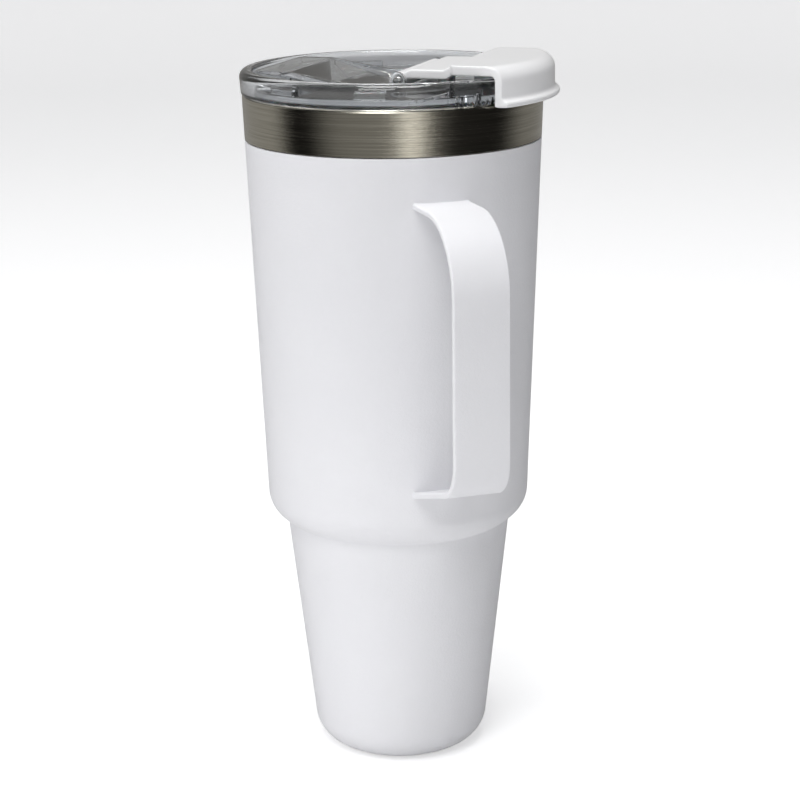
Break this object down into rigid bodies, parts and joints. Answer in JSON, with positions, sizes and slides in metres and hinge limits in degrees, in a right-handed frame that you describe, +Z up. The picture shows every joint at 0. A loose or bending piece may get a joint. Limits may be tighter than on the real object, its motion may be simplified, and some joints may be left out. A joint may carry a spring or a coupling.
{
  "type": "insulated tumbler with lid",
  "caption": "Double-walled steel tumbler with a stepped body, a strap handle, a clear press-in lid and a white flip lever that hooks over the rim.",
  "frame": {"origin": "centre of the flat base, on the surface that the tumbler stands on", "axes": "+Z up along the axis of the cup, +X out through the handle"},
  "size_m": [0.1378, 0.1072, 0.2448],
  "materials": {
    "white_powder_coat": "fine satin powder coat",
    "brushed_steel": "brushed round the mouth",
    "liner_steel": "fine brushed",
    "solder_glass": "dark fused bead",
    "getter_metal": "sintered matt grey",
    "clear_plastic": "clear polished moulding",
    "silicone": "translucent matt silicone",
    "pin_steel": "ground bright",
    "white_plastic": "satin white moulding"
  },
  "bodies": {
    "cup": {"outer_shell": "white_powder_coat", "mouth_ring": "brushed_steel", "inner_liner": "liner_steel", "base_cap": "white_powder_coat", "vacuum_bulkhead": "liner_steel", "vacuum_plug": "solder_glass", "vacuum_getter": "getter_metal", "handle_strap": "white_powder_coat"},
    "lid": {"lid_ring": "clear_plastic", "lid_deck": "clear_plastic", "lid_gasket": "silicone", "hinge_pin": "pin_steel"},
    "lever": {"flip_lever": "white_plastic", "spout_seal": "silicone", "vent_pad": "silicone"}
  },
  "joints": [
    {"name": "lid_lift", "type": "slide", "parent": "cup", "child": "lid", "axis": [0, 0, 1], "range_m": [0, 0.06]},
    {"name": "lever_flip", "type": "hinge", "parent": "lid", "child": "lever", "pos_m": [0.00542, 0.00719, 0.2387], "axis": [0.7986, -0.6018, 0], "range_deg": [0, 150]}
  ]
}
